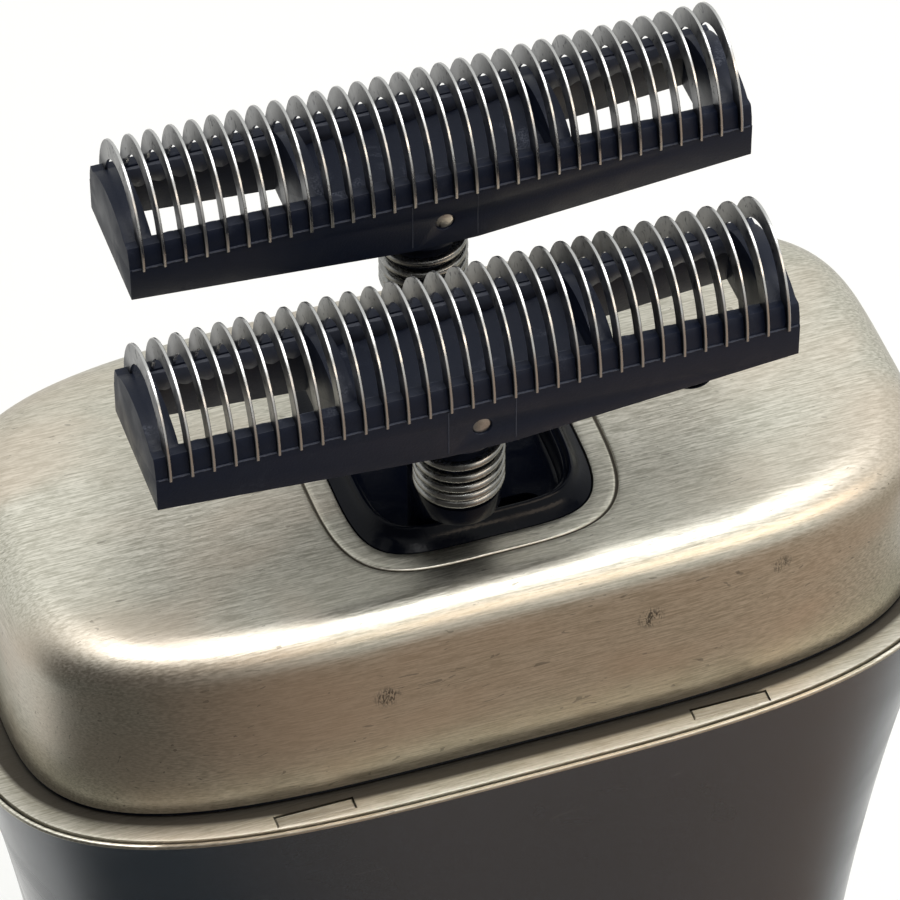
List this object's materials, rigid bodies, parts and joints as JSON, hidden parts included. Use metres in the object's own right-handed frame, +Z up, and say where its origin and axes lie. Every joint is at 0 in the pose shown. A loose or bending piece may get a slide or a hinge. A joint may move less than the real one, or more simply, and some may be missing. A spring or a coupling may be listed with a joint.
{
  "type": "foil shaver body",
  "caption": "Cordless foil shaver with its foil head off: brushed metal deck on a gloss handle, with sprung, counter-moving cutter blocks of thin steel fins.",
  "frame": {"origin": "middle of the base, on the surface it stands on", "axes": "+X along the cutters, +Y from the front with the power button to the back, +Z up from the base to the cutters"},
  "size_m": [0.0642, 0.0342, 0.1298],
  "materials": {
    "body_gunmetal": "high gloss dark metallic",
    "champagne_steel": "brushed along X, satin",
    "bright_plug": "polished",
    "black_rubber": "soft sheen",
    "black_moulding": "fine moulded texture",
    "fin_steel": "thin etched sheet",
    "spring_steel": "drawn wire",
    "steel_hardware": "plain",
    "dark_frame": "matte",
    "white_acetal": "matte",
    "cell_wrap": "shrink wrap",
    "brass": "turned",
    "board_green": "solder mask",
    "lead_red": "insulation",
    "light_pipe": "translucent",
    "button_gloss": "gloss"
  },
  "bodies": {
    "housing": {"front_shell": "body_gunmetal", "rear_shell": "body_gunmetal", "base_cap": "dark_frame", "base_pad": "black_rubber", "base_screws": "steel_hardware", "collar": "champagne_steel", "head_catches": "champagne_steel", "deck_gasket": "black_rubber", "deck_cap": "champagne_steel", "deck_plug": "bright_plug", "plug_grommet": "black_rubber", "deck_screws": "steel_hardware", "boot": "black_rubber", "boot_retainer": "dark_frame", "retainer_screws": "steel_hardware", "drive_frame": "dark_frame", "guide_rods": "steel_hardware", "motor_can": "steel_hardware", "motor_bushing": "brass", "motor_screws": "steel_hardware", "motor_leads": "lead_red", "chassis": "dark_frame", "battery_cells": "cell_wrap", "battery_tabs": "steel_hardware", "circuit_board": "board_green", "board_parts": "button_gloss", "power_switch": "steel_hardware", "charge_socket": "steel_hardware", "charge_light": "light_pipe", "button_bezel": "champagne_steel"},
    "rotor": {"motor_shaft": "steel_hardware", "crank": "white_acetal"},
    "power_key": {"power_button": "button_gloss"},
    "front_drive": {"front_carriage": "white_acetal", "front_arm": "black_moulding", "front_skirt": "black_moulding", "front_spring": "spring_steel"},
    "front_plunger": {"front_holder": "black_moulding"},
    "front_cutter": {"front_pin": "steel_hardware", "front_frame": "black_moulding", "front_fins": "fin_steel"},
    "back_drive": {"back_carriage": "white_acetal", "back_arm": "black_moulding", "back_skirt": "black_moulding", "back_spring": "spring_steel"},
    "back_plunger": {"back_holder": "black_moulding"},
    "back_cutter": {"back_pin": "steel_hardware", "back_frame": "black_moulding", "back_fins": "fin_steel"}
  },
  "joints": [
    {"name": "motor_spin", "type": "hinge", "parent": "housing", "child": "rotor", "pos_m": [0, 0, 0.0968], "axis": [0, 0, 1], "continuous": true},
    {"name": "front_oscillation", "type": "slide", "parent": "housing", "child": "front_drive", "axis": [1, 0, 0], "range_m": [0, 0.0035]},
    {"name": "back_oscillation", "type": "slide", "parent": "housing", "child": "back_drive", "axis": [1, 0, 0], "range_m": [-0.0035, 0]},
    {"name": "front_plunge", "type": "slide", "parent": "front_drive", "child": "front_plunger", "axis": [0, 0, 1], "range_m": [-0.0012, 0], "stiffness_N_per_m": 300, "springref_m": 0.002, "deforming": ["front_spring"]},
    {"name": "front_rock", "type": "hinge", "parent": "front_plunger", "child": "front_cutter", "pos_m": [-0.00175, -0.00845, 0.12235], "axis": [0, 1, 0], "range_deg": [-4, 4]},
    {"name": "back_plunge", "type": "slide", "parent": "back_drive", "child": "back_plunger", "axis": [0, 0, 1], "range_m": [-0.0012, 0], "stiffness_N_per_m": 300, "springref_m": 0.002, "deforming": ["back_spring"]},
    {"name": "back_rock", "type": "hinge", "parent": "back_plunger", "child": "back_cutter", "pos_m": [0.00175, 0.00845, 0.12235], "axis": [0, 1, 0], "range_deg": [-4, 4]},
    {"name": "power_press", "type": "slide", "parent": "housing", "child": "power_key", "axis": [0, 1, 0], "range_m": [0, 0.0006], "stiffness_N_per_m": 800}
  ],
  "couplings": [
    {"joint": "back_oscillation", "follows": "front_oscillation", "ratio": -1}
  ]
}
